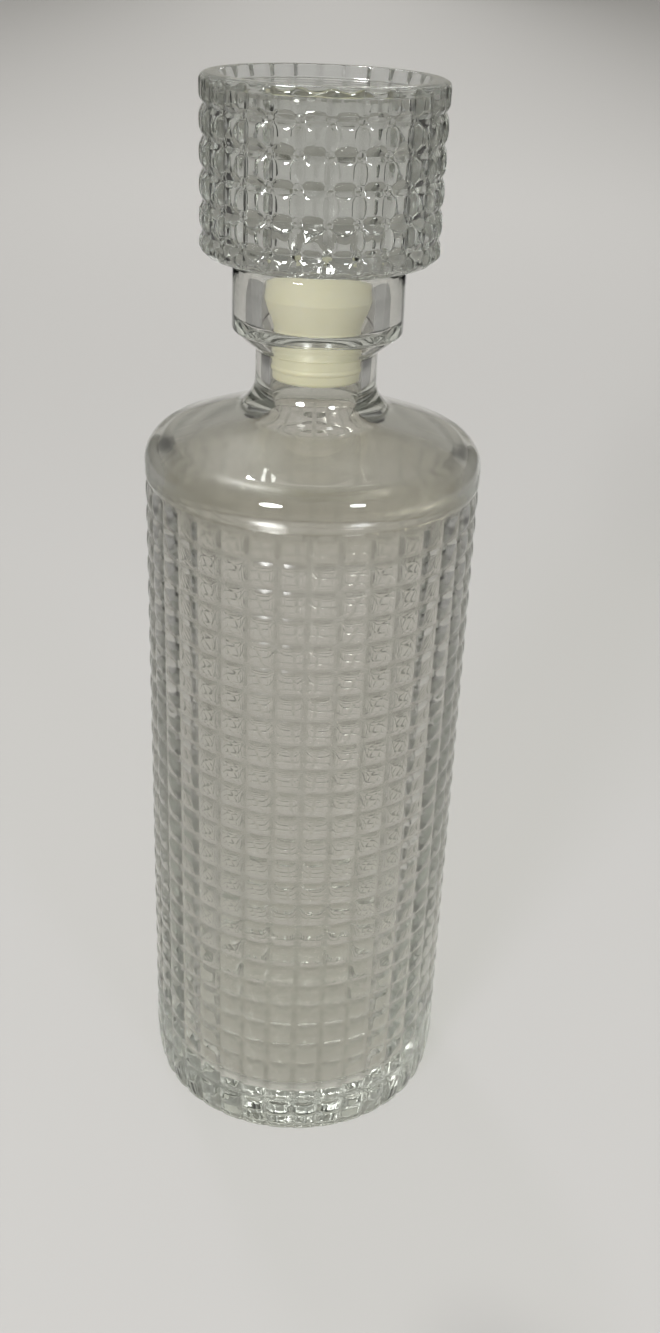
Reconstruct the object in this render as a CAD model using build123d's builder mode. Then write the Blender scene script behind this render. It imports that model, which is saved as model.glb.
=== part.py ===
"""A round pressed-glass decanter with a waffle relief, and its drum-headed stopper on a plastic plug.

Millimetres. +Z is up, along the axis of the decanter. The origin is the centre of the face it stands on.
"""

from build123d import *
from itertools import pairwise
from math import radians, tan
import os

# ---- Driving dimensions: the bottle ----
body_radius = 42.5  # over the crests of the relief
body_wall = 5.0  # from the crests to the inside
shoulder_height = 195.0  # where the straight side and the shoulder's slope would meet
shoulder_round = 7.0
shoulder_slope = 20.5  # degrees, how steeply the shoulder climbs to the neck
shoulder_wall = 5.5

heel_height = 7.0  # the foot draws in below this
heel_inset = 0.9
heel_blend = 12.0  # radius of the blend into the straight side
heel_round = 0.8
base_thickness = 9.0
inside_heel_round = 9.0
punt_radius = 30.0  # the shallow hollow under the base
punt_depth = 1.6

neck_radius = 15.0
neck_wall = 3.6
neck_blend = 8.0  # outside, where the neck meets the shoulder
neck_length = 13.2  # from the shoulder's slope up to the collar
collar_radius = 20.8
collar_rise = 4.6  # the sloping underside
collar_height = 16.2  # the upright side
collar_round = 1.6
collar_corner = 1.0  # at both ends of the sloping underside

mouth_radius = 13.9
mouth_depth = 14.1  # the wide mouth, down to its seat
mouth_taper = 3.0  # height of the conical seat

# ---- Driving dimensions: the relief of the bottle ----
column_count = 36
row_pitch = 6.96
row_start = 11.2  # height of the lowest ring groove
plain_band = 8.0  # least height left plain between the relief and the shoulder
groove_width = 2.8
groove_depth = 0.55

# ---- Driving dimensions: the stopper ----
head_radius = 28.6
head_height = 39.6
head_top_edge = 1.6
head_rim_width = 2.6
head_dish_depth = 2.8
head_dish_slope = 2.2  # how far the dish's side runs in
head_foot_inset = 1.6
head_foot_height = 1.6
head_column_count = 26
head_turn = 10.2  # degrees, the way the stopper happens to be turned
head_row_pitch = 7.0
head_row_start = 4.9  # height of its lowest ring groove over its underside
head_plain_band = 5.0  # least height between its highest ring groove and its top
head_groove_width = 3.2
head_groove_depth = 0.8

stem_radius = 7.0
stem_tip_chamfer = 1.2
flange_thickness = 1.0
flange_overlap = 3.1  # how far the flange reaches over the collar's rim
plug_length = 28.3  # below the flange
plug_wide_length = 8.2  # below the flange, before the plug narrows
plug_cone_length = 6.8
plug_floor = 2.2
plug_tip_chamfer = 1.0
rib_count = 2
rib_pitch = 4.4
rib_start = 3.4  # from the plug's lower end to the middle of its first rib
rib_height = 0.3
rib_width = 1.2

# ---- Clearances ----
plug_gap = 0.7  # round the plug, in the bore and in the mouth
flange_gap = 0.3  # under the flange, over the collar
stem_running_gap = 0.05  # radial, between the glass stem and its plastic sleeve
stem_tip_gap = 0.5

# ---- Heights and radii that follow ----
bore_radius = neck_radius - neck_wall
inside_radius = body_radius - body_wall
neck_foot = shoulder_height + (body_radius - neck_radius) * tan(radians(shoulder_slope))
collar_foot = neck_foot + neck_length
collar_top = collar_foot + collar_rise + collar_height
inside_shoulder = shoulder_height - shoulder_wall
inside_neck = inside_shoulder + (inside_radius - bore_radius) * tan(radians(shoulder_slope))
mouth_floor = collar_top - mouth_depth
seat_foot = mouth_floor - mouth_taper
row_count = int((shoulder_height - plain_band - row_start) // row_pitch)
relief_top = row_start + row_count * row_pitch

flange_bottom = collar_top + flange_gap
head_bottom = flange_bottom + flange_thickness
head_top = head_bottom + head_height
head_row_count = int((head_height - head_plain_band - head_row_start) // head_row_pitch)
dish_radius = head_radius - head_top_edge - head_rim_width
plug_radius = bore_radius - plug_gap
plug_shoulder_radius = mouth_radius - plug_gap
flange_radius = mouth_radius + flange_overlap
sleeve_radius = stem_radius + stem_running_gap
plug_bottom = flange_bottom - plug_length
cone_top = flange_bottom - plug_wide_length
cone_foot = cone_top - plug_cone_length
stem_bottom = plug_bottom + plug_floor + stem_tip_gap


def ring_grooves(crest_radius, lowest, pitch, count, width, depth):
    """Cuts count V grooves round the part being built, the first at the height lowest."""
    overshoot = depth / 2
    half_mouth = width / 2 * (depth + overshoot) / depth
    with BuildSketch(Plane.XZ) as vees:
        for row in range(count):
            height = lowest + row * pitch
            with BuildLine():
                Polyline(
                    (crest_radius - depth, height),
                    (crest_radius + overshoot, height + half_mouth),
                    (crest_radius + overshoot, height - half_mouth),
                    close=True,
                )
            make_face()
    revolve(vees.sketch, axis=Axis.Z, mode=Mode.SUBTRACT)


def upright_grooves(crest, count, width, depth, turn=0):
    """Cuts count V grooves up the side, from each (radius, height) point of the crest to the next."""
    overshoot = depth / 2
    half_mouth = width / 2 * (depth + overshoot) / depth
    for stretch in pairwise(crest):
        ends = []
        for radius, height in stretch:
            with BuildSketch(Plane.XY.offset(height)) as end:
                with BuildLine():
                    Polyline(
                        (radius - depth, 0),
                        (radius + overshoot, half_mouth),
                        (radius + overshoot, -half_mouth),
                        close=True,
                    )
                make_face()
            ends.append(end.sketch)
        groove = loft(ends, ruled=True, mode=Mode.PRIVATE)
        with PolarLocations(0, count, start_angle=turn):
            add(groove, mode=Mode.SUBTRACT)


# ---- The bottle: one piece of clear glass ----
with BuildPart() as bottle:
    with BuildSketch(Plane.XZ):
        with BuildLine():
            FilletPolyline(
                (0, 0),
                (body_radius - heel_inset, 0),
                (body_radius, heel_height),
                (body_radius, shoulder_height),
                (neck_radius, neck_foot),
                (neck_radius, collar_foot),
                (collar_radius, collar_foot + collar_rise),
                (collar_radius, collar_top),
                (0, collar_top),
                radius=[
                    heel_round,
                    heel_blend,
                    shoulder_round,
                    neck_blend,
                    collar_corner,
                    collar_corner,
                    collar_round,
                ],
            )
            Line((0, collar_top), (0, 0))
        make_face()
    revolve(axis=Axis.Z)
    with BuildSketch(Plane.XZ):
        with BuildLine():
            FilletPolyline(
                (0, base_thickness),
                (inside_radius, base_thickness),
                (inside_radius, inside_shoulder),
                (bore_radius, inside_neck),
                (bore_radius, seat_foot),
                (mouth_radius, mouth_floor),
                (mouth_radius, collar_top),
                (0, collar_top),
                radius=[inside_heel_round, shoulder_round, neck_blend, 0, 0, 0],
            )
            Line((0, collar_top), (0, base_thickness))
        make_face()
    revolve(axis=Axis.Z, mode=Mode.SUBTRACT)
    with BuildSketch(Plane.XZ):
        with BuildLine():
            punt = ThreePointArc((-punt_radius, 0), (0, punt_depth), (punt_radius, 0))
            Line(punt @ 1, punt @ 0)
        make_face()
        split(bisect_by=Plane.YZ)
    revolve(axis=Axis.Z, mode=Mode.SUBTRACT)
    ring_grooves(body_radius, row_start, row_pitch, row_count + 1, groove_width, groove_depth)
    crest = [(body_radius - heel_inset, 0), (body_radius, heel_height), (body_radius, relief_top)]
    upright_grooves(crest, column_count, groove_width, groove_depth)
bottle.part.label = "bottle"

# ---- The plug: a moulded polyethylene sleeve that seals the mouth ----
with BuildPart() as stopper_sleeve:
    with BuildSketch(Plane.XZ):
        with BuildLine():
            Polyline(
                (0, plug_bottom),
                (plug_radius - plug_tip_chamfer, plug_bottom),
                (plug_radius, plug_bottom + plug_tip_chamfer),
                (plug_radius, cone_foot),
                (plug_shoulder_radius, cone_top),
                (plug_shoulder_radius, flange_bottom),
                (flange_radius, flange_bottom),
                (flange_radius, head_bottom),
                (sleeve_radius, head_bottom),
                (sleeve_radius, plug_bottom + plug_floor),
                (0, plug_bottom + plug_floor),
                close=True,
            )
        make_face()
        for rib in range(rib_count):
            with BuildLine():
                middle = plug_bottom + rib_start + rib * rib_pitch
                Polyline(
                    (plug_radius - rib_height, middle - rib_width / 2),
                    (plug_radius, middle - rib_width / 2),
                    (plug_radius + rib_height, middle),
                    (plug_radius, middle + rib_width / 2),
                    (plug_radius - rib_height, middle + rib_width / 2),
                    close=True,
                )
            make_face()
    revolve(axis=Axis.Z)
stopper_sleeve.part.label = "stopper_sleeve"

# ---- The stopper: a solid glass drum with the glass stem that the plug is fitted on ----
with BuildPart() as stopper_head:
    with BuildSketch(Plane.XZ):
        with BuildLine():
            Polyline(
                (0, head_bottom),
                (head_radius - head_foot_inset, head_bottom),
                (head_radius, head_bottom + head_foot_height),
                (head_radius, head_top - head_top_edge),
                (head_radius - head_top_edge, head_top),
                (dish_radius, head_top),
                (dish_radius - head_dish_slope, head_top - head_dish_depth),
                (0, head_top - head_dish_depth),
                close=True,
            )
        make_face()
    revolve(axis=Axis.Z)
    ring_grooves(
        head_radius,
        head_bottom + head_row_start,
        head_row_pitch,
        head_row_count + 1,
        head_groove_width,
        head_groove_depth,
    )
    crest = [(head_radius, head_bottom), (head_radius, head_top)]
    upright_grooves(crest, head_column_count, head_groove_width, head_groove_depth, head_turn)
    with BuildSketch(Plane.XY.offset(head_bottom)):
        Circle(stem_radius)
    extrude(amount=stem_bottom - head_bottom)
    chamfer(stopper_head.edges().group_by(Axis.Z)[0], stem_tip_chamfer)
stopper_head.part.label = "stopper_head"

os.makedirs("parts", exist_ok=True)
for piece in (bottle.part, stopper_sleeve.part, stopper_head.part):
    export_step(piece, f"parts/{piece.label}.step")
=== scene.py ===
# %% [markdown]
# # A pressed-glass decanter
# The decanter is three pieces: a hollow glass bottle with a waffle relief, a glass stopper shaped like a
# drum with the same relief, and the pale plastic plug that the stopper's stem is pushed into. The CAD model
# already holds their sizes, joints and fits. This script makes what the eye sees: glass with soft,
# fire-polished edges, real thickness and small flaws, and a plug of milky plastic. It starts by loading the
# CAD model as a frame that never moves.

# %% Load the frame
from itertools import pairwise
from math import atan2, ceil, cos, hypot, pi, radians, sin, tan, tau

import bmesh
import bpy
from mathutils import Matrix, Vector, noise


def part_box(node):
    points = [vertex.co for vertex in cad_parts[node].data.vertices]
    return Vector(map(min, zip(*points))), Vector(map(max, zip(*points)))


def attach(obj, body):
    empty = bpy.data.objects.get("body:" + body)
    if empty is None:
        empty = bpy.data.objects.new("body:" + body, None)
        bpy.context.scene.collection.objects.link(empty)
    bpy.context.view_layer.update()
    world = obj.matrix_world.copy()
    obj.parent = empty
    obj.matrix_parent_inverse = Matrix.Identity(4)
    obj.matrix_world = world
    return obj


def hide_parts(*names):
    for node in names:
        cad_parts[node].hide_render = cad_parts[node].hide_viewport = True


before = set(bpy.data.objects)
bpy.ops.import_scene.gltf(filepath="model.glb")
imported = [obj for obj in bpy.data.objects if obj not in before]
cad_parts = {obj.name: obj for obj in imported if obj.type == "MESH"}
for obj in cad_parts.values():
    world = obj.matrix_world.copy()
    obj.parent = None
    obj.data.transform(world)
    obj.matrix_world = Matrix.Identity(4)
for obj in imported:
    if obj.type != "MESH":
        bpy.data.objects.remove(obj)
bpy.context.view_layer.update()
MM = 0.001

# %% [markdown]
# Everything here is round, so the frame's boxes give most of the driving sizes: half a box's width is a
# radius, and its top and bottom are heights. What a box can't tell, such as a wall or the pitch of the
# relief, is written out. The relief makes the bottle's box reach a hair less far to some sides, and the
# body takes the least of the four.

# %% Sizes that come from the frame
bottle_low, bottle_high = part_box("bottle")
plug_low, plug_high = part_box("stopper_sleeve")
head_low, head_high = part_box("stopper_head")
COLLAR_TOP = bottle_high.z
PLUG_FOOT = plug_low.z
PLUG_TOP = plug_high.z
FLANGE_RADIUS = (plug_high.x - plug_low.x) / 2
STEM_FOOT = head_low.z
HEAD_TOP = head_high.z
print("collar top", round(COLLAR_TOP / MM, 1), "mm, head top", round(HEAD_TOP / MM, 1), "mm")

# %% Sizes of the bottle
BODY_RADIUS = min(bottle_high.x, bottle_high.y, -bottle_low.x, -bottle_low.y)
WALL = 5.0 * MM
SHOULDER_HEIGHT = 195.0 * MM
SHOULDER_ROUND = 7.0 * MM
SHOULDER_SLOPE = radians(20.5)
SHOULDER_WALL = 5.5 * MM
HEEL_HEIGHT = 7.0 * MM
HEEL_INSET = 0.9 * MM
HEEL_BLEND = 12.0 * MM
HEEL_ROUND = 0.8 * MM
BASE_THICKNESS = 9.0 * MM
INSIDE_HEEL_ROUND = 9.0 * MM
PUNT_RADIUS = 30.0 * MM
PUNT_DEPTH = 1.6 * MM
PUNT_ROUND = 60.0 * MM
PUNT_EDGE_ROUND = 6.0 * MM
NECK_RADIUS = 15.0 * MM
BORE_RADIUS = 11.4 * MM
NECK_BLEND = 8.0 * MM
COLLAR_RADIUS = 20.8 * MM
COLLAR_RISE = 4.6 * MM
COLLAR_HEIGHT = 16.2 * MM
COLLAR_ROUND = 1.6 * MM
COLLAR_CORNER = 1.0 * MM
MOUTH_RADIUS = 13.9 * MM
MOUTH_DEPTH = 14.1 * MM
MOUTH_TAPER = 3.0 * MM
RIM_ROUND = 0.9 * MM
SEAT_ROUND = 1.0 * MM
NECK_FOOT = SHOULDER_HEIGHT + (BODY_RADIUS - NECK_RADIUS) * tan(SHOULDER_SLOPE)
COLLAR_FOOT = COLLAR_TOP - COLLAR_HEIGHT - COLLAR_RISE
INSIDE_RADIUS = BODY_RADIUS - WALL
INSIDE_SHOULDER = SHOULDER_HEIGHT - SHOULDER_WALL
INSIDE_NECK = INSIDE_SHOULDER + (INSIDE_RADIUS - BORE_RADIUS) * tan(SHOULDER_SLOPE)
MOUTH_FLOOR = COLLAR_TOP - MOUTH_DEPTH
SEAT_FOOT = MOUTH_FLOOR - MOUTH_TAPER
print("neck", round(NECK_FOOT / MM, 1), "to", round(COLLAR_FOOT / MM, 1), "mm")
print("wall", round(WALL / MM, 1), "mm")

# %% [markdown]
# ## Rounds on an outline
# Every piece is turned about one axis, so each starts as an outline: half of its cross-section, drawn as a
# wire of a few points in the upright plane y = 0. Glass never has a knife edge, because the hot surface
# pulls itself round, so each corner gets a bevel. A vertex bevel starts a set distance from the corner, and
# for a round of radius r on a line that turns by an angle a, that distance is r tan(a / 2).

# %% Draw an outline with rounded corners
ARC_STEP = 1.1 * MM
LEAST_SEGMENTS = 3


def round_corner(shape, corner, radius, arc_step=ARC_STEP):
    ahead, behind = (edge.other_vert(corner).co - corner.co for edge in corner.link_edges)
    turn = pi - ahead.angle(behind)
    bmesh.ops.bevel(
        shape,
        geom=[corner],
        offset=radius * tan(turn / 2),
        offset_type="OFFSET",
        segments=max(LEAST_SEGMENTS, ceil(radius * turn / arc_step)),
        profile=0.5,
        affect="VERTICES",
        material=-1,
    )


def draw_outline(corners, arc_step=ARC_STEP):
    """A wire through corners of (radius, height, round), from one end on the axis to the other."""
    shape = bmesh.new()
    points = [shape.verts.new((radius, 0, height)) for radius, height, _ in corners]
    for start, end in pairwise(points):
        shape.edges.new((start, end))
    for point, (_, _, radius) in zip(points, corners):
        if radius:
            round_corner(shape, point, radius, arc_step)
    return shape


bottle = draw_outline([
    (0, PUNT_DEPTH, 0),
    (PUNT_RADIUS / 2, PUNT_DEPTH, PUNT_ROUND),
    (PUNT_RADIUS, 0, PUNT_EDGE_ROUND),
    (BODY_RADIUS - HEEL_INSET, 0, HEEL_ROUND),
    (BODY_RADIUS, HEEL_HEIGHT, HEEL_BLEND),
    (BODY_RADIUS, SHOULDER_HEIGHT, SHOULDER_ROUND),
    (NECK_RADIUS, NECK_FOOT, NECK_BLEND),
    (NECK_RADIUS, COLLAR_FOOT, COLLAR_CORNER),
    (COLLAR_RADIUS, COLLAR_FOOT + COLLAR_RISE, COLLAR_CORNER),
    (COLLAR_RADIUS, COLLAR_TOP, COLLAR_ROUND),
    (MOUTH_RADIUS, COLLAR_TOP, RIM_ROUND),
    (MOUTH_RADIUS, MOUTH_FLOOR, SEAT_ROUND),
    (BORE_RADIUS, SEAT_FOOT, SEAT_ROUND),
    (BORE_RADIUS, INSIDE_NECK, NECK_BLEND),
    (INSIDE_RADIUS, INSIDE_SHOULDER, SHOULDER_ROUND),
    (INSIDE_RADIUS, BASE_THICKNESS, INSIDE_HEEL_ROUND),
    (0, BASE_THICKNESS, 0),
])
print("bottle's outline:", len(bottle.verts), "points")

# %% [markdown]
# ## Levels for the relief
# The mould pressed crossing V grooves into the side, which leave a square pad between each four. The
# grooves are moved into the mesh after it is spun, so the outline first needs points at the heights where a
# groove has a feature: its line, its side, the soft edge where it meets the pad, and the pad's middle. One
# pitch holds eight of them, closest together at the edges. The outline is cut by level planes there, from
# the lower side of the lowest groove up to the plain glass above the highest one, and any other long run is
# simply divided.

# %% Cut the outline at the grooves' levels
PITCH_STEPS = (0, 0.13, 0.20, 0.30, 0.50, 0.70, 0.80, 0.87)
USED_LEVELS = slice(5, -2)
SKIN = 1.5 * MM
SNAP = 0.1 * MM
LONGEST_RUN = 8 * MM
HEEL_RISE = 11.2 * MM
ROW_PITCH = 6.96 * MM
ROWS = 25
RELIEF_TOP = HEEL_RISE + ROWS * ROW_PITCH


def cut_levels(shape, lowest, pitch, rows, inner_radius):
    """Cuts the outline outside inner_radius at the levels of rows + 1 grooves."""
    heights = [lowest + (row + step) * pitch for row in range(-1, rows + 1) for step in PITCH_STEPS]
    for height in heights[USED_LEVELS]:
        outside = [edge for edge in shape.edges if min(v.co.x for v in edge.verts) > inner_radius]
        verts = {vert for edge in outside for vert in edge.verts}
        bmesh.ops.bisect_plane(
            shape, geom=outside + list(verts), dist=SNAP, plane_co=(0, 0, height), plane_no=(0, 0, 1)
        )


def cut_long_runs(shape, longest):
    for edge in [edge for edge in shape.edges if edge.calc_length() > longest]:
        bmesh.ops.subdivide_edges(shape, edges=[edge], cuts=ceil(edge.calc_length() / longest) - 1)


cut_levels(bottle, HEEL_RISE, ROW_PITCH, ROWS, BODY_RADIUS - SKIN)
cut_long_runs(bottle, LONGEST_RUN)
print("bottle's outline:", len(bottle.verts), "points, relief up to", round(RELIEF_TOP / MM, 1), "mm")

# %% [markdown]
# ## Spin it round
# One spin about the axis makes a closed shell: base, side, shoulder, neck, collar, and back down the
# inside, so the glass has its real thickness. The number of steps is eight for each column of pads. A spin
# is evenly spaced, so the points are then turned a little, to sit on the grooves' lines and edges as the
# levels do.

# %% Spin the shell
COLUMNS = 36
SAME_PLACE = 1e-7
ON_AXIS = 1e-6


def spin_shell(shape, columns, turn):
    """Spins the outline in eight steps a column, crowded towards the edges of the grooves."""
    steps = columns * len(PITCH_STEPS)
    bmesh.ops.spin(
        shape,
        geom=shape.verts[:] + shape.edges[:],
        cent=(0, 0, 0),
        axis=(0, 0, 1),
        dvec=(0, 0, 0),
        angle=tau,
        steps=steps,
        use_merge=True,
    )
    bmesh.ops.remove_doubles(shape, verts=shape.verts[:], dist=SAME_PLACE)
    for vert in shape.verts:
        around = hypot(vert.co.x, vert.co.y)
        if around > ON_AXIS:
            column, step = divmod(round(atan2(vert.co.y, vert.co.x) / tau * steps), len(PITCH_STEPS))
            angle = turn + (column + PITCH_STEPS[step]) * tau / columns
            vert.co.xy = around * cos(angle), around * sin(angle)
    bmesh.ops.recalc_face_normals(shape, faces=shape.faces[:])
    return shape


spin_shell(bottle, COLUMNS, 0)
print("bottle's shell:", len(bottle.verts), "points,", len(bottle.faces), "faces")

# %% [markdown]
# ## Press the relief
# Each point near the outside is pulled in by the depth of the groove that it lies in. The depth comes from
# how far the point is from the nearest ring groove and from the nearest upright groove, and the deeper one
# counts. The groove's edge fades out softly, and a slight dome on each pad makes it work as a lens, which
# is what gives the real glass its rows of small bright images. Upright grooves run on down the heel to the
# foot. Each point also keeps a number for how deep in a groove it lies, from 0 to 1, which the glass finish
# uses later.

# %% Press grooves into the shell
GROOVE_HALF = 1.4 * MM
GROOVE_DEPTH = 0.55 * MM
SOFT_EDGE = 0.25 * MM
PAD_DOME = 0.14 * MM
REACH = 1.5  # how far in the press moves points, in groove depths


def groove_cut(distance, half, depth):
    """How deep a V groove is at a distance from its line, with a soft edge."""
    inside = half - distance
    return depth / half * (inside + hypot(inside, SOFT_EDGE)) / 2


def pad_dome(distance, pitch, half, dome):
    """How far a pad's dome has fallen, from its middle to its edge."""
    reach = pitch / 2 - half
    return dome * min(1, (pitch / 2 - distance) / reach) ** 2


def nearest(place, pitch):
    """The distance to the nearest of evenly pitched lines."""
    return abs((place + pitch / 2) % pitch - pitch / 2)


def press_relief(shape, crest, columns, turn, lowest, pitch, rows, half, depth, dome, ends):
    """Pulls points in from the crest's radius. Upright grooves run between the two heights in ends."""
    groove = shape.verts.layers.float.new("groove")
    highest = lowest + rows * pitch
    for vert in shape.verts:
        around, height = hypot(vert.co.x, vert.co.y), vert.co.z
        if around < crest(height) - REACH * depth or not ends[0] <= height <= highest + pitch:
            continue
        width = tau / columns * around
        ring = nearest(height - lowest, pitch)
        across = nearest(atan2(vert.co.y, vert.co.x) - turn, tau / columns) * around
        cut, fallen = 0, 0
        if lowest - pitch / 2 < height < highest + pitch / 2:
            cut = groove_cut(ring, half, depth)
        if height < ends[1] + SNAP:
            cut = max(cut, groove_cut(across, half, depth))
            fallen = pad_dome(across, width, half, dome)
            if lowest < height < highest:
                fallen += pad_dome(ring, pitch, half, dome)
        vert[groove] = min(1, cut / depth)
        pulled = crest(height) - cut - fallen
        if pulled < around:
            vert.co.xy *= pulled / around


def bottle_crest(height):
    return BODY_RADIUS - HEEL_INSET * max(0, 1 - height / HEEL_HEIGHT)


press_relief(
    bottle,
    bottle_crest,
    COLUMNS,
    0,
    HEEL_RISE,
    ROW_PITCH,
    ROWS,
    GROOVE_HALF,
    GROOVE_DEPTH,
    PAD_DOME,
    (0, RELIEF_TOP),
)
print("bottle's pads:", COLUMNS * ROWS)

# %% [markdown]
# ## The uneven inside
# The mould shapes only the outside. The inside is blown, so its wall wanders by a few tenths of a
# millimetre. That is what bends the far wall's pattern and gives the shoulder its wavy lights, so it is
# worth having in the mesh: a slow noise moves the inside's points in or out. It fades towards the bore,
# where the plug has to fit. Each inside point also keeps a number for how much finer ripple the blowing
# left there, most under the shoulder, where the glass was last hot.

# %% Let the inside wander
WANDER = 0.30 * MM
WANDER_SIZE = 34 * MM
WANDER_STRETCH = 0.6  # it changes more slowly in height, as the glass sags
BORE_FADE = 6 * MM
HAZE_RISE = 12 * MM
SHELL_MARGIN = 0.1 * MM
SLOPE_MARGIN = 1 * MM


def is_inside(vert):
    around, height = hypot(vert.co.x, vert.co.y), vert.co.z
    under_shoulder = INSIDE_SHOULDER + (INSIDE_RADIUS - around) * tan(SHOULDER_SLOPE) + SLOPE_MARGIN
    return around < INSIDE_RADIUS + SHELL_MARGIN and BASE_THICKNESS - SHELL_MARGIN < height < under_shoulder


blown = bottle.verts.layers.float.new("blown")
for vert in filter(is_inside, bottle.verts):
    around = hypot(vert.co.x, vert.co.y)
    fade = min(1, max(0, (around - BORE_RADIUS) / BORE_FADE))
    spot = Vector((vert.co.x, vert.co.y, vert.co.z * WANDER_STRETCH)) / WANDER_SIZE
    drift = WANDER * fade * noise.noise(spot)
    away = Vector((vert.co.x, vert.co.y, 0)).normalized() if around else Vector()
    level = 1 if vert.co.z > INSIDE_SHOULDER else -1 if vert.co.z < BASE_THICKNESS + SLOPE_MARGIN else 0
    vert.co += drift * (away + Vector((0, 0, level)))
    vert[blown] = fade * (1 + min(1, max(0, vert.co.z - RELIEF_TOP + HAZE_RISE) / HAZE_RISE))
print("inside points:", sum(1 for vert in bottle.verts if is_inside(vert)))

# %% [markdown]
# ## Finished pieces
# A finished piece's object stays at the origin and its place is in its mesh, as a CAD node's is. It is
# shaded smooth, except along creases sharper than a set angle, so the grooves keep a crisp line at the
# bottom. Each piece stands for one CAD node, hides that node's part and rides on that node's body.

# %% Turn a shape into a piece
CREASE = radians(38)


def finish_piece(shape, name, node, body):
    mesh = bpy.data.meshes.new(name)
    shape.to_mesh(mesh)
    shape.free()
    mesh.shade_smooth()
    mesh.set_sharp_from_angle(angle=CREASE)
    piece = bpy.data.objects.new(name, mesh)
    bpy.context.scene.collection.objects.link(piece)
    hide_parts(node)
    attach(piece, body)
    triangles = sum(len(face.vertices) - 2 for face in mesh.polygons)
    print(name, "has", triangles, "triangles")
    return piece


bottle_piece = finish_piece(bottle, "bottle_glass", "bottle", "bottle_body")

# %% [markdown]
# ## The stopper
# The stopper is one solid piece of glass: a drum with the same relief, a shallow dish in its top, and a
# stem below that the plug is pushed over. It is made as the bottle is, from an outline, level cuts, a spin
# and pressed grooves. Its upright grooves run off both edges of the drum, which gives the rims their
# scallops.

# %% Sizes of the stopper
HEAD_RADIUS = 28.6 * MM
HEAD_FOOT = PLUG_TOP
HEAD_FOOT_INSET = 1.6 * MM
HEAD_FOOT_RISE = 1.6 * MM
HEAD_RIM = 4.2 * MM
DISH_DEPTH = 2.8 * MM
DISH_SLOPE = 2.2 * MM
HEAD_COLUMNS = 26
HEAD_TURN = radians(10.2)
HEAD_ROWS = 4
HEAD_PITCH = 7.0 * MM
HEAD_RISE = 4.9 * MM
HEAD_LOWEST = HEAD_FOOT + HEAD_RISE
HEAD_GROOVE_HALF = 1.6 * MM
HEAD_GROOVE_DEPTH = 0.8 * MM
HEAD_PAD_DOME = 0.14 * MM
HEAD_FOOT_ROUND = 0.8 * MM
HEAD_TOP_ROUND = 1.9 * MM
HEAD_RIM_ROUND = 0.8 * MM
DISH_ROUND = 1.6 * MM
STEM_RADIUS = 7.0 * MM
STEM_TIP_ROUND = 1.2 * MM
FINE_ARC_STEP = 0.4 * MM
FINE_RUN = 3 * MM
print("drum", round((HEAD_TOP - HEAD_FOOT) / MM, 1), "mm high,", round(2 * HEAD_RADIUS / MM, 1), "mm across")

# %% Make the stopper
stopper = draw_outline([
    (0, STEM_FOOT, 0),
    (STEM_RADIUS, STEM_FOOT, STEM_TIP_ROUND),
    (STEM_RADIUS, HEAD_FOOT, 0),
    (HEAD_RADIUS - HEAD_FOOT_INSET, HEAD_FOOT, HEAD_FOOT_ROUND),
    (HEAD_RADIUS, HEAD_FOOT + HEAD_FOOT_RISE, HEAD_FOOT_ROUND),
    (HEAD_RADIUS, HEAD_TOP, HEAD_TOP_ROUND),
    (HEAD_RADIUS - HEAD_RIM, HEAD_TOP, HEAD_RIM_ROUND),
    (HEAD_RADIUS - HEAD_RIM - DISH_SLOPE, HEAD_TOP - DISH_DEPTH, DISH_ROUND),
    (0, HEAD_TOP - DISH_DEPTH, 0),
], FINE_ARC_STEP)
cut_levels(stopper, HEAD_LOWEST, HEAD_PITCH, HEAD_ROWS, HEAD_RADIUS - SKIN)
cut_long_runs(stopper, FINE_RUN)
spin_shell(stopper, HEAD_COLUMNS, HEAD_TURN)
press_relief(
    stopper,
    lambda height: HEAD_RADIUS,
    HEAD_COLUMNS,
    HEAD_TURN,
    HEAD_LOWEST,
    HEAD_PITCH,
    HEAD_ROWS,
    HEAD_GROOVE_HALF,
    HEAD_GROOVE_DEPTH,
    HEAD_PAD_DOME,
    (HEAD_FOOT, HEAD_TOP),
)
stopper_piece = finish_piece(stopper, "stopper_glass", "stopper_head", "head_body")

# %% [markdown]
# ## The plug
# The plug is a moulded polyethylene sleeve. Its flange lies under the drum, its wide part fills the mouth,
# its cone sits over the glass seat, and two small ribs stand near its end, to wipe the bore. Moulded
# plastic has small even rounds, so its outline gets them all round. Its bore and its top stay a hair clear
# of the glass stem and drum.

# %% Make the plug
PLUG_GAP = 0.7 * MM
PLUG_RADIUS = BORE_RADIUS - PLUG_GAP
PLUG_SHOULDER = MOUTH_RADIUS - PLUG_GAP
PLUG_FLOOR = 2.2 * MM
FLANGE_THICKNESS = 1.0 * MM
HAIR = 0.06 * MM
RIBS = 2
RIB_RISE = 0.3 * MM
RIB_PITCH = 4.4 * MM
RIB_START = 3.4 * MM
RIB_HALF = 0.7 * MM
RIB_CREST_HALF = 0.2 * MM
RIB_ROUND = 0.2 * MM
WIDE_LENGTH = 8.2 * MM
CONE_LENGTH = 6.8 * MM
PLUG_TIP_ROUND = 1.2 * MM
CONE_FOOT_ROUND = 1.5 * MM
CONE_TOP_ROUND = 1.0 * MM
FLANGE_NECK_ROUND = 0.5 * MM
FLANGE_FOOT_ROUND = 0.3 * MM
FLANGE_TOP_ROUND = 0.4 * MM
SLEEVE_LIP_ROUND = 0.3 * MM
SLEEVE_FLOOR_ROUND = 0.5 * MM
PLUG_ARC_STEP = 0.3 * MM
PLUG_STEPS = 18  # eight to each, as the columns of the relief have
FLANGE_FOOT = PLUG_TOP - FLANGE_THICKNESS
SLEEVE_RADIUS = STEM_RADIUS + HAIR
CONE_TOP = FLANGE_FOOT - WIDE_LENGTH
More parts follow.
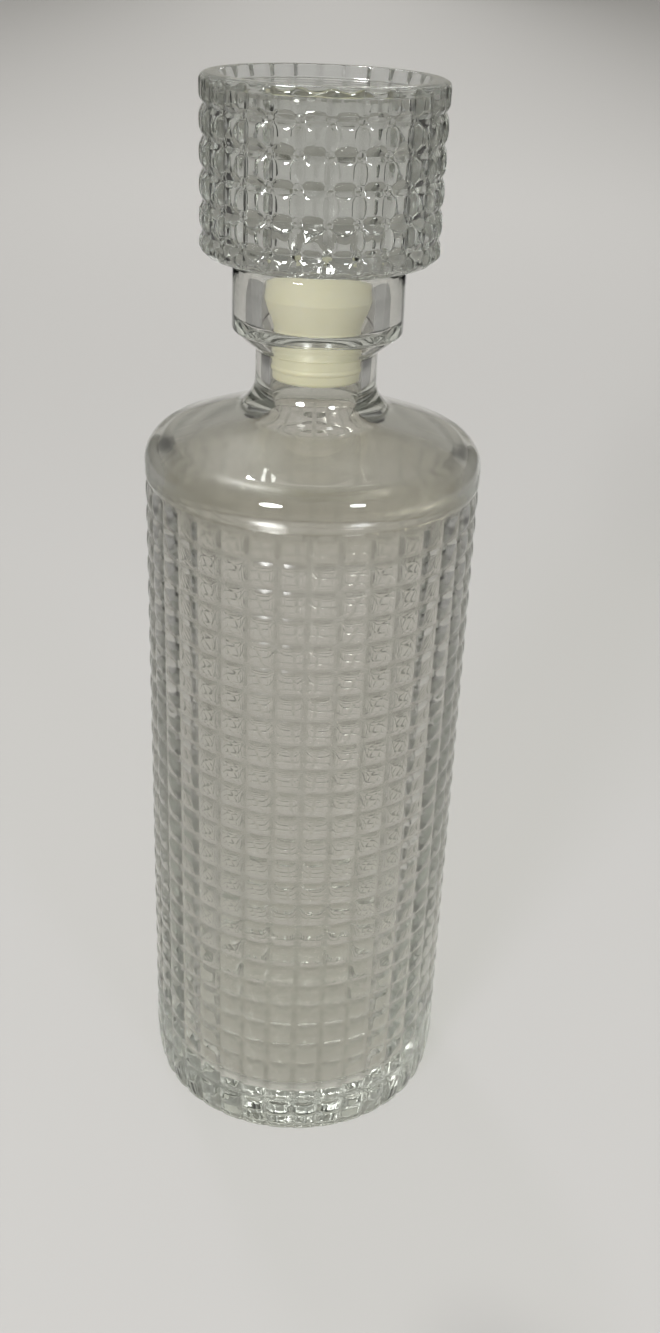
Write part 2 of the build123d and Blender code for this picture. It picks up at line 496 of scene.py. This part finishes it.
CONE_FOOT = CONE_TOP - CONE_LENGTH

ribs = []
for rib in range(RIBS):
    middle = PLUG_FOOT + RIB_START + rib * RIB_PITCH
    ribs += [
        (PLUG_RADIUS, middle - RIB_HALF, RIB_ROUND),
        (PLUG_RADIUS + RIB_RISE, middle - RIB_CREST_HALF, RIB_ROUND),
        (PLUG_RADIUS + RIB_RISE, middle + RIB_CREST_HALF, RIB_ROUND),
        (PLUG_RADIUS, middle + RIB_HALF, RIB_ROUND),
    ]
plug = draw_outline([
    (0, PLUG_FOOT, 0),
    (PLUG_RADIUS, PLUG_FOOT, PLUG_TIP_ROUND),
    *ribs,
    (PLUG_RADIUS, CONE_FOOT, CONE_FOOT_ROUND),
    (PLUG_SHOULDER, CONE_TOP, CONE_TOP_ROUND),
    (PLUG_SHOULDER, FLANGE_FOOT, FLANGE_NECK_ROUND),
    (FLANGE_RADIUS, FLANGE_FOOT, FLANGE_FOOT_ROUND),
    (FLANGE_RADIUS, PLUG_TOP - HAIR, FLANGE_TOP_ROUND),
    (SLEEVE_RADIUS, PLUG_TOP - HAIR, SLEEVE_LIP_ROUND),
    (SLEEVE_RADIUS, PLUG_FOOT + PLUG_FLOOR, SLEEVE_FLOOR_ROUND),
    (0, PLUG_FOOT + PLUG_FLOOR, 0),
], PLUG_ARC_STEP)
cut_long_runs(plug, FINE_RUN)
spin_shell(plug, PLUG_STEPS, 0)
plug_piece = finish_piece(plug, "stopper_plug", "stopper_sleeve", "plug_body")

# %% [markdown]
# ## Finishes
# Three finishes are built from four effects, so each effect is a node group with its own inputs: how a hand
# leaves the gloss uneven, how pressed glass ripples, how the grooves get painted shade and a dull film of
# lime, and how moulded plastic varies. A group puts out only values and colours. The shader, with its plain
# numbers such as the index of refraction, stays in the material.

# %% Helpers for node trees
def add_node(tree, kind, settings=None, **inputs):
    """Adds a node. An input is a plain value or another node's output, and _0 names the first input."""
    node = tree.nodes.new(kind)
    for name, value in (settings or {}).items():
        setattr(node, name, value)
    for name, value in inputs.items():
        socket = node.inputs[int(name[1:])] if name[1:].isdigit() else node.inputs[name.replace("_", " ")]
        if isinstance(value, bpy.types.NodeSocket):
            tree.links.new(value, socket)
        else:
            socket.default_value = value
    return node


def new_group(name, inputs, outputs):
    """An empty node group with named sockets, and its input and output nodes."""
    group = bpy.data.node_groups.new(name, "ShaderNodeTree")
    for label, kind, value in inputs:
        socket = group.interface.new_socket(label, in_out="INPUT", socket_type=kind)
        socket.default_value = value
    for label, kind in outputs:
        group.interface.new_socket(label, in_out="OUTPUT", socket_type=kind)
    return group, group.nodes.new("NodeGroupInput"), group.nodes.new("NodeGroupOutput")


def place_group(tree, group, **inputs):
    return add_node(tree, "ShaderNodeGroup", {"node_tree": group}, **inputs)


FLOAT = "NodeSocketFloat"
COLOR = "NodeSocketColor"
print("node helpers ready")

# %% [markdown]
# Glass that has been handled is clean in some places and greasy in others. Two sizes of noise say where:
# broad patches from hands, and small dried drops from the last wash. Under the shoulder no brush reaches,
# and a haze stays on the inside, where the number kept for blown glass is high. The group gives a roughness
# for each place.

# %% Group: handled gloss
DROPS_PER_METRE = 420.0
HAZE_FROM = 1.0
HAZE_FULL = 1.8

handled_gloss, given, result = new_group(
    "handled_gloss",
    [("Patch size", FLOAT, 30 * MM), ("Clean", FLOAT, 0.0), ("Smudged", FLOAT, 0.06), ("Hazed", FLOAT, 0.0)],
    [("Roughness", FLOAT)],
)
here = add_node(handled_gloss, "ShaderNodeTexCoord").outputs["Object"]
scale = add_node(
    handled_gloss, "ShaderNodeMath", {"operation": "DIVIDE"}, _0=1.0, _1=given.outputs["Patch size"]
)
patches = add_node(
    handled_gloss, "ShaderNodeTexNoise", Vector=here, Scale=scale.outputs[0], Detail=4.0, Roughness=0.6
)
drops = add_node(handled_gloss, "ShaderNodeTexVoronoi", Vector=here, Scale=DROPS_PER_METRE, Randomness=1.0)
patch_mask = add_node(
    handled_gloss, "ShaderNodeMapRange", {"interpolation_type": "SMOOTHSTEP"},
    Value=patches.outputs["Fac"], From_Min=0.50, From_Max=0.72,
)
drop_mask = add_node(
    handled_gloss, "ShaderNodeMapRange", {"interpolation_type": "SMOOTHSTEP"},
    Value=drops.outputs["Distance"], From_Min=0.22, From_Max=0.10, To_Max=0.5,
)
smudged = add_node(
    handled_gloss, "ShaderNodeMath", {"operation": "MAXIMUM"},
    _0=patch_mask.outputs["Result"], _1=drop_mask.outputs["Result"],
)
gloss = add_node(
    handled_gloss, "ShaderNodeMapRange",
    Value=smudged.outputs[0], To_Min=given.outputs["Clean"], To_Max=given.outputs["Smudged"],
)
blown_here = add_node(handled_gloss, "ShaderNodeAttribute", {"attribute_name": "blown"})
haze = add_node(
    handled_gloss, "ShaderNodeMapRange", {"interpolation_type": "SMOOTHSTEP"},
    Value=blown_here.outputs["Fac"], From_Min=HAZE_FROM, From_Max=HAZE_FULL, To_Max=given.outputs["Hazed"],
)
dullest_here = add_node(
    handled_gloss, "ShaderNodeMath", {"operation": "MAXIMUM"},
    _0=gloss.outputs["Result"], _1=haze.outputs["Result"],
)
handled_gloss.links.new(dullest_here.outputs[0], result.inputs["Roughness"])
print("handled_gloss:", len(handled_gloss.nodes), "nodes")

# %% [markdown]
# Pressed glass chills as it meets the iron mould, which leaves a fine ripple, drawn out a little in height.
# The group gives a height for a Bump node. The ripple is stronger where the glass was blown, by the number
# kept on those points. A mould is made in two halves, so a faint seam runs up two opposite sides, and the
# group adds it where the surface crosses the plane between them.

# %% Group: chilled ripple and seam
RIPPLE_STRETCH = (1, 1, 0.55)
BLOWN_RIPPLE = 2.5  # how much stronger the ripple gets for each 1 of the blown number
SEAM_RISE = 0.35

chilled_ripple, given, result = new_group(
    "chilled_ripple",
    [("Ripple size", FLOAT, 9 * MM), ("Seam width", FLOAT, 0.35 * MM), ("Seam turn", FLOAT, 0.0)],
    [("Height", FLOAT)],
)
here = add_node(chilled_ripple, "ShaderNodeTexCoord").outputs["Object"]
scale = add_node(
    chilled_ripple, "ShaderNodeMath", {"operation": "DIVIDE"}, _0=1.0, _1=given.outputs["Ripple size"]
)
drawn = add_node(chilled_ripple, "ShaderNodeMapping", Vector=here, Scale=RIPPLE_STRETCH)
slow = add_node(
    chilled_ripple, "ShaderNodeTexNoise",
    Vector=drawn.outputs[0], Scale=scale.outputs[0], Detail=2.0, Roughness=0.45,
)
turned = add_node(
    chilled_ripple, "ShaderNodeVectorRotate", {"rotation_type": "Z_AXIS"},
    Vector=here, Angle=given.outputs["Seam turn"],
)
sides = add_node(chilled_ripple, "ShaderNodeSeparateXYZ", Vector=turned.outputs[0])
off_plane = add_node(chilled_ripple, "ShaderNodeMath", {"operation": "ABSOLUTE"}, _0=sides.outputs["Y"])
seam = add_node(
    chilled_ripple, "ShaderNodeMapRange", {"interpolation_type": "SMOOTHSTEP"},
    Value=off_plane.outputs[0], From_Min=given.outputs["Seam width"], From_Max=0.0, To_Max=SEAM_RISE,
)
blown_here = add_node(chilled_ripple, "ShaderNodeAttribute", {"attribute_name": "blown"})
strength = add_node(
    chilled_ripple, "ShaderNodeMath", {"operation": "MULTIPLY_ADD"},
    _0=blown_here.outputs["Fac"], _1=BLOWN_RIPPLE, _2=1.0,
)
height = add_node(
    chilled_ripple, "ShaderNodeMath", {"operation": "MULTIPLY_ADD"},
    _0=slow.outputs["Fac"], _1=strength.outputs[0], _2=seam.outputs["Result"],
)
chilled_ripple.links.new(height.outputs[0], result.inputs["Height"])
print("chilled_ripple:", len(chilled_ripple.nodes), "nodes")

# %% [markdown]
# The grooves are tinted darker than the pads. That tint is painted shade: it stands in for the darker
# surroundings that the grooves bend into view, and it draws the dark lattice. A cloth wipes the pads but
# never reaches into the grooves, so lime from washing settles there and dulls them. The group reads the
# number that each point kept when the grooves were pressed. A noise breaks the painted shade and the lime up,
# and the group gives a tint and an added dullness. The haze on the inside of the shoulder is tinted here too.

# %% Group: painted shade and lime in the grooves
SHADE_AND_LIME_GRAINS_PER_METRE = 240.0

groove_shade_and_lime, given, result = new_group(
    "groove_shade_and_lime",
    [
        ("Clean", COLOR, (0.8, 0.8, 0.78, 1)),
        ("Limed", COLOR, (0.4, 0.4, 0.37, 1)),
        ("Hazed", COLOR, (0.66, 0.64, 0.56, 1)),
        ("Dullest", FLOAT, 0.2),
    ],
    [("Color", COLOR), ("Dullness", FLOAT)],
)
here = add_node(groove_shade_and_lime, "ShaderNodeTexCoord").outputs["Object"]
deep = add_node(groove_shade_and_lime, "ShaderNodeAttribute", {"attribute_name": "groove"})
deep_shade_and_lime = add_node(
    groove_shade_and_lime, "ShaderNodeMapRange", {"interpolation_type": "SMOOTHSTEP"},
    Value=deep.outputs["Fac"], From_Min=0.10, From_Max=0.80,
)
broken = add_node(
    groove_shade_and_lime, "ShaderNodeTexNoise", Vector=here, Scale=SHADE_AND_LIME_GRAINS_PER_METRE, Detail=3.0, Roughness=0.6
)
left = add_node(
    groove_shade_and_lime, "ShaderNodeMapRange",
    Value=broken.outputs["Fac"], From_Min=0.30, From_Max=0.60, To_Min=0.55, To_Max=1.0,
)
shade_and_lime_mask = add_node(
    groove_shade_and_lime, "ShaderNodeMath", {"operation": "MULTIPLY"},
    _0=deep_shade_and_lime.outputs["Result"], _1=left.outputs["Result"],
)
# Painted shade: deep in the grooves the tint goes darker than the pads' clean tint.
mixed = add_node(
    groove_shade_and_lime, "ShaderNodeMix", {"data_type": "RGBA"},
    _0=shade_and_lime_mask.outputs[0], _6=given.outputs["Clean"], _7=given.outputs["Limed"],
)
dulled = add_node(
    groove_shade_and_lime, "ShaderNodeMath", {"operation": "MULTIPLY"},
    _0=shade_and_lime_mask.outputs[0], _1=given.outputs["Dullest"],
)
blown_here = add_node(groove_shade_and_lime, "ShaderNodeAttribute", {"attribute_name": "blown"})
haze = add_node(
    groove_shade_and_lime, "ShaderNodeMapRange", {"interpolation_type": "SMOOTHSTEP"},
    Value=blown_here.outputs["Fac"], From_Min=HAZE_FROM, From_Max=HAZE_FULL,
)
tinted = add_node(
    groove_shade_and_lime, "ShaderNodeMix", {"data_type": "RGBA"},
    _0=haze.outputs["Result"], _6=mixed.outputs[2], _7=given.outputs["Hazed"],
)
groove_shade_and_lime.links.new(tinted.outputs[2], result.inputs["Color"])
groove_shade_and_lime.links.new(dulled.outputs[0], result.inputs["Dullness"])
print("groove_shade_and_lime:", len(groove_shade_and_lime.nodes), "nodes")

# %% [markdown]
# The glass shader itself is a Principled BSDF with full transmission. Old pressed glass is a little grey,
# which the base colour gives at each surface. Its faint green comes from the volume, so thick places are
# deeper in colour than thin ones. Rays that only ask how much light reaches another surface, from a lamp or
# from the room, pass through a Transparent BSDF instead, because a path tracer can't aim at a lamp through
# a refracting surface, and the floor round the decanter would be black.

# %% Glass shader
GLASS_IOR = 1.52
PASSED = (0.965, 0.965, 0.955, 1)  # what each surface lets through of a lamp's or the room's light


def make_glass(
    name, clean, limed, dullest, thick, density, patch_size, smudged, hazed, ripple_size, ripple, seam_turn
):
    material = bpy.data.materials.new(name)
    material.use_nodes = True
    tree = material.node_tree
    tree.nodes.clear()
    gloss = place_group(tree, handled_gloss, Patch_size=patch_size, Smudged=smudged, Hazed=hazed)
    # This group paints shade into the grooves as a darker tint, and adds the lime's dullness there.
    shade_and_lime = place_group(tree, groove_shade_and_lime, Clean=(*clean, 1), Limed=(*limed, 1), Dullest=dullest)
    rough = add_node(
        tree, "ShaderNodeMath", {"operation": "MAXIMUM"},
        _0=gloss.outputs["Roughness"], _1=shade_and_lime.outputs["Dullness"],
    )
    skin = place_group(tree, chilled_ripple, Ripple_size=ripple_size, Seam_turn=seam_turn)
    bump = add_node(tree, "ShaderNodeBump", Strength=1.0, Distance=ripple, Height=skin.outputs["Height"])
    shader = add_node(
        tree, "ShaderNodeBsdfPrincipled",
        Base_Color=shade_and_lime.outputs["Color"], Metallic=0.0, Roughness=rough.outputs[0], IOR=GLASS_IOR,
        Transmission_Weight=1.0, Normal=bump.outputs["Normal"],
    )
    passing = add_node(tree, "ShaderNodeBsdfTransparent", Color=PASSED)
    path = add_node(tree, "ShaderNodeLightPath")
    lighting = add_node(
        tree, "ShaderNodeMath", {"operation": "MAXIMUM"},
        _0=path.outputs["Is Shadow Ray"], _1=path.outputs["Is Diffuse Ray"],
    )
    either = add_node(
        tree, "ShaderNodeMixShader", _0=lighting.outputs[0], _1=shader.outputs[0], _2=passing.outputs[0]
    )
    depth = add_node(tree, "ShaderNodeVolumeAbsorption", Color=(*thick, 1), Density=density)
    add_node(tree, "ShaderNodeOutputMaterial", Surface=either.outputs[0], Volume=depth.outputs[0])
    return material


# Each glass gives its pads a clean tint and its grooves a darker tint, which is painted shade.
bottle_glass = make_glass(
    "bottle_glass", clean=(0.82, 0.81, 0.775), limed=(0.60, 0.59, 0.55), dullest=0.26,
    thick=(0.10, 0.36, 0.10), density=2.2, patch_size=34 * MM, smudged=0.05, hazed=0.16,
    ripple_size=10 * MM, ripple=0.03 * MM, seam_turn=0.0,
)
stopper_glass = make_glass(
    "stopper_glass", clean=(0.80, 0.81, 0.80), limed=(0.66, 0.67, 0.65), dullest=0.12,
    thick=(0.25, 0.28, 0.17), density=6.0, patch_size=20 * MM, smudged=0.04, hazed=0.0,
    ripple_size=8 * MM, ripple=0.03 * MM, seam_turn=radians(26),
)
bottle_piece.data.materials.append(bottle_glass)
stopper_piece.data.materials.append(stopper_glass)
print("glass:", bottle_glass.name, "and", stopper_glass.name)

# %% [markdown]
# The plug is cream polyethylene: a waxy plastic that lets a little light in, which is what subsurface
# scattering is for. It has yellowed unevenly with age, most of all towards its wet end, and carries the
# fine matt grain of its mould. The group gives a colour, a roughness and a height.

# %% Group: aged plastic
BLOTCHES_PER_METRE = 130.0
WET_RISE = 30 * MM

aged_plastic, given, result = new_group(
    "aged_plastic",
    [
        ("Fresh", COLOR, (0.66, 0.645, 0.55, 1)),
        ("Yellowed", COLOR, (0.60, 0.58, 0.42, 1)),
        ("Wet end", FLOAT, 0.2),
        ("Grain size", FLOAT, 0.35 * MM),
    ],
    [("Color", COLOR), ("Roughness", FLOAT), ("Height", FLOAT)],
)
here = add_node(aged_plastic, "ShaderNodeTexCoord").outputs["Object"]
sides = add_node(aged_plastic, "ShaderNodeSeparateXYZ", Vector=here)
blotches = add_node(
    aged_plastic, "ShaderNodeTexNoise", Vector=here, Scale=BLOTCHES_PER_METRE, Detail=5.0, Roughness=0.6
)
over_end = add_node(
    aged_plastic, "ShaderNodeMath", {"operation": "SUBTRACT"},
    _0=sides.outputs["Z"], _1=given.outputs["Wet end"],
)
wet = add_node(
    aged_plastic, "ShaderNodeMapRange", Value=over_end.outputs[0], From_Min=WET_RISE, From_Max=0.0, To_Max=0.6
)
spread = add_node(
    aged_plastic, "ShaderNodeMath", {"operation": "MULTIPLY_ADD"},
    _0=blotches.outputs["Fac"], _1=0.7, _2=wet.outputs["Result"],
)
mixed = add_node(
    aged_plastic, "ShaderNodeMix", {"data_type": "RGBA", "clamp_factor": True},
    _0=spread.outputs[0], _6=given.outputs["Fresh"], _7=given.outputs["Yellowed"],
)
scale = add_node(
    aged_plastic, "ShaderNodeMath", {"operation": "DIVIDE"}, _0=1.0, _1=given.outputs["Grain size"]
)
grain = add_node(aged_plastic, "ShaderNodeTexNoise", Vector=here, Scale=scale.outputs[0], Detail=3.0)
matt = add_node(aged_plastic, "ShaderNodeMapRange", Value=blotches.outputs["Fac"], To_Min=0.34, To_Max=0.52)
aged_plastic.links.new(mixed.outputs[2], result.inputs["Color"])
aged_plastic.links.new(matt.outputs["Result"], result.inputs["Roughness"])
aged_plastic.links.new(grain.outputs["Fac"], result.inputs["Height"])
print("aged_plastic:", len(aged_plastic.nodes), "nodes")

# %% Plastic of the plug
GRAIN_DEPTH = 0.05 * MM
PLASTIC_IOR = 1.5

plug_plastic = bpy.data.materials.new("plug_plastic")
plug_plastic.use_nodes = True
tree = plug_plastic.node_tree
tree.nodes.clear()
age = place_group(tree, aged_plastic, Wet_end=PLUG_FOOT)
bump = add_node(tree, "ShaderNodeBump", Strength=0.35, Distance=GRAIN_DEPTH, Height=age.outputs["Height"])
shader = add_node(
    tree, "ShaderNodeBsdfPrincipled",
    Base_Color=age.outputs["Color"], Roughness=age.outputs["Roughness"], IOR=PLASTIC_IOR,
    Subsurface_Weight=0.35, Subsurface_Radius=(1.0, 0.85, 0.5), Subsurface_Scale=2 * MM,
    Normal=bump.outputs["Normal"],
)
add_node(tree, "ShaderNodeOutputMaterial", Surface=shader.outputs[0])
plug_piece.data.materials.append(plug_plastic)
print("plug_plastic:", len(tree.nodes), "nodes")

# %% [markdown]
# ## The setting
# The decanter stands on a plain pale floor that reaches far enough to fill the picture. Soft lamps stand to
# the left and right in front, a sun gives the broad light, and a long lamp behind keeps the far floor pale.
# Two very small lamps stand in for windows far behind: each facet of the glass that bends them into view
# lights up. The world is a warm grey. Caustics through glass are switched off below, beside the camera,
# because the shadow that the glass casts already lets the lamps' light through, and with both the floor
# under the decanter would be lit twice.

# %% Floor
FLOOR_RADIUS = 30  # metres
FLOOR_DROP = 0.1 * MM
FLOOR_COLOUR = (0.56, 0.55, 0.535, 1)

floor_shape = bmesh.new()
bmesh.ops.create_circle(floor_shape, cap_ends=True, cap_tris=False, segments=96, radius=FLOOR_RADIUS)
bmesh.ops.translate(floor_shape, verts=floor_shape.verts[:], vec=(0, 0, -FLOOR_DROP))
floor_mesh = bpy.data.meshes.new("floor")
floor_shape.to_mesh(floor_mesh)
floor_shape.free()
floor = bpy.data.objects.new("floor", floor_mesh)
bpy.context.scene.collection.objects.link(floor)
pale = bpy.data.materials.new("pale_floor")
pale.use_nodes = True
pale.node_tree.nodes.clear()
matt = add_node(pale.node_tree, "ShaderNodeBsdfDiffuse", Color=FLOOR_COLOUR, Roughness=0.8)
add_node(pale.node_tree, "ShaderNodeOutputMaterial", Surface=matt.outputs[0])
floor_mesh.materials.append(pale)
print("floor radius", FLOOR_RADIUS, "m")

# %% World
HORIZON = (0.38, 0.37, 0.335, 1)
OVERHEAD = (0.36, 0.355, 0.34, 1)

world = bpy.data.worlds.new("soft_room")
bpy.context.scene.world = world
world.use_nodes = True
sky = world.node_tree
sky.nodes.clear()
direction = add_node(sky, "ShaderNodeTexCoord").outputs["Generated"]
height = add_node(sky, "ShaderNodeSeparateXYZ", Vector=direction).outputs["Z"]
overhead = add_node(
    sky, "ShaderNodeMapRange", {"interpolation_type": "SMOOTHSTEP"}, Value=height, From_Min=0.0, From_Max=0.75
)
shade = add_node(
    sky, "ShaderNodeMix", {"data_type": "RGBA"}, _0=overhead.outputs["Result"], _6=HORIZON, _7=OVERHEAD
)
glow = add_node(sky, "ShaderNodeBackground", Color=shade.outputs[2], Strength=1.0)
add_node(sky, "ShaderNodeOutputWorld", Surface=glow.outputs[0])
print("world: warm grey at the horizon, a little darker and less warm overhead")

# %% Lamps
MIDDLE = (0, 0, 0.14)  # half the decanter's height, where the lamps point
SUN_POWER = 0.9
SUN_SIZE = radians(6)
SUN_AIM = (0.20, -0.46, -0.87)


def add_lamp(name, place, aim, size, power, colour=(1, 1, 1)):
    lamp = bpy.data.lights.new(name, "AREA")
    lamp.shape = "DISK"
    lamp.size = size
    lamp.energy = power
    lamp.color = colour
    holder = bpy.data.objects.new(name, lamp)
    holder.location = place
    holder.rotation_euler = (Vector(aim) - Vector(place)).to_track_quat("-Z", "Y").to_euler()
    holder.visible_camera = False
    bpy.context.scene.collection.objects.link(holder)
    return holder


sun = bpy.data.lights.new("room_light", "SUN")
sun.energy = SUN_POWER
sun.angle = SUN_SIZE
sun_holder = bpy.data.objects.new("room_light", sun)
sun_holder.rotation_euler = Vector(SUN_AIM).to_track_quat("-Z", "Y").to_euler()
bpy.context.scene.collection.objects.link(sun_holder)
add_lamp("key", place=(-0.5, -1.0, 0.62), aim=MIDDLE, size=0.3, power=11.0)
add_lamp("fill", place=(0.6, -0.95, 0.8), aim=MIDDLE, size=0.22, power=4.0, colour=(0.93, 0.96, 1))
add_lamp("window_left", place=(-0.06, 1.5, 0.95), aim=MIDDLE, size=0.12, power=0.3)
add_lamp("window_right", place=(0.14, 1.6, 0.75), aim=MIDDLE, size=0.10, power=0.2)
strip = add_lamp("backdrop_light", place=(0, 4.2, 2.5), aim=(0, 4.2, 0), size=1.4, power=20.0)
strip.data.shape = "RECTANGLE"
strip.data.size_y = 7
strip.data.spread = radians(60)
print("lamps: room light, key, fill, two windows, backdrop light")

# %% [markdown]
# Clear glass in an even room almost vanishes. A photographer stands black cards just outside the picture,
# and the glass bends them into the dark cells and outlines that draw its shape. Two cards stand here behind
# the decanter, to the left and right. They are painted grey at the foot and fade to black above: a painted
# glow of light from the floor, so the neck and collar show them mid-grey. They are hidden from the camera,
# and they take no light from the lamps or the room on its way to the floor and the plug, so other views see
# them only in the glass.

# %% Black cards
CARD_AWAY = 0.42
CARD_TURN = radians(56)
CARD_WIDTH = 0.45
CARD_HEIGHT = 0.30
FADE_FROM = 0.10
FADE_TO = 0.17
CARD_FOOT_PAINTED_GREY = 0.42
CARD_BLACK = 0.015

black = bpy.data.materials.new("black_card")
black.use_nodes = True
black.node_tree.nodes.clear()
on_card = add_node(black.node_tree, "ShaderNodeTexCoord").outputs["Object"]
up_card = add_node(black.node_tree, "ShaderNodeSeparateXYZ", Vector=on_card)
# Painted light: the card is grey at its foot and black above, a painted glow from the floor.
painted_floor_glow = add_node(
    black.node_tree, "ShaderNodeMapRange", {"interpolation_type": "SMOOTHSTEP"},
    Value=up_card.outputs["Z"], From_Min=FADE_FROM, From_Max=FADE_TO, To_Min=CARD_FOOT_PAINTED_GREY, To_Max=CARD_BLACK,
)
matt = add_node(black.node_tree, "ShaderNodeBsdfDiffuse", Color=painted_floor_glow.outputs["Result"])
add_node(black.node_tree, "ShaderNodeOutputMaterial", Surface=matt.outputs[0])
for side, name in ((-1, "card_left"), (1, "card_right")):
    card_shape = bmesh.new()
    bmesh.ops.create_grid(card_shape, x_segments=1, y_segments=1, size=0.5)
    bmesh.ops.scale(card_shape, verts=card_shape.verts[:], vec=(CARD_WIDTH, CARD_HEIGHT, 1))
    upright = Matrix.Rotation(radians(90), 4, "X")
    away = Matrix.Translation((0, CARD_AWAY, CARD_HEIGHT / 2))
    aside = Matrix.Rotation(-side * CARD_TURN, 4, "Z")
    bmesh.ops.transform(card_shape, verts=card_shape.verts[:], matrix=aside @ away @ upright)
    card_mesh = bpy.data.meshes.new(name)
    card_shape.to_mesh(card_mesh)
    card_shape.free()
    card = bpy.data.objects.new(name, card_mesh)
    bpy.context.scene.collection.objects.link(card)
    card.visible_camera = False
    card.visible_shadow = False
    card.visible_diffuse = False
    card_mesh.materials.append(black)
print("cards at", CARD_AWAY, "m")

# %% [markdown]
# ## The camera
# The photograph was taken from close by, a little above the stopper and looking down at 28 degrees, so the
# decanter narrows towards its foot. The camera has the same place, tilt and lens. The settings that clear
# glass needs are made here too: many bounces, so that no path ends inside the relief, and no caustics.

# %% Camera
CAMERA_BACK = 343.1 * MM
CAMERA_HEIGHT = 310.65 * MM
PITCH = 0.4841
YAW = 0.0190
ROLL = 0.0422
LENS = 38.27
SENSOR = 36
BOUNCES = 28

forward = Vector((sin(YAW) * cos(PITCH), cos(YAW) * cos(PITCH), -sin(PITCH)))
level = Vector((cos(YAW), -sin(YAW), 0))
upward = level.cross(forward)
right = cos(ROLL) * level + sin(ROLL) * upward
upward = cos(ROLL) * upward - sin(ROLL) * level
lens = bpy.data.cameras.new("camera")
lens.lens = LENS
lens.sensor_width = SENSOR
lens.clip_start = 0.01
lens.clip_end = 200
camera = bpy.data.objects.new("camera", lens)
turned = Matrix((right, upward, -forward)).transposed().to_4x4()
camera.matrix_world = Matrix.Translation((0, -CAMERA_BACK, CAMERA_HEIGHT)) @ turned
bpy.context.scene.collection.objects.link(camera)
bpy.context.scene.camera = camera
bpy.context.scene.view_settings.view_transform = "Standard"
bpy.context.scene.cycles.caustics_refractive = False
bpy.context.scene.cycles.max_bounces = BOUNCES
bpy.context.scene.cycles.transmission_bounces = BOUNCES
bpy.context.scene.cycles.glossy_bounces = 8
bpy.context.scene.cycles.transparent_max_bounces = 32
print("camera", round(camera.location.length, 3), "m from the origin")
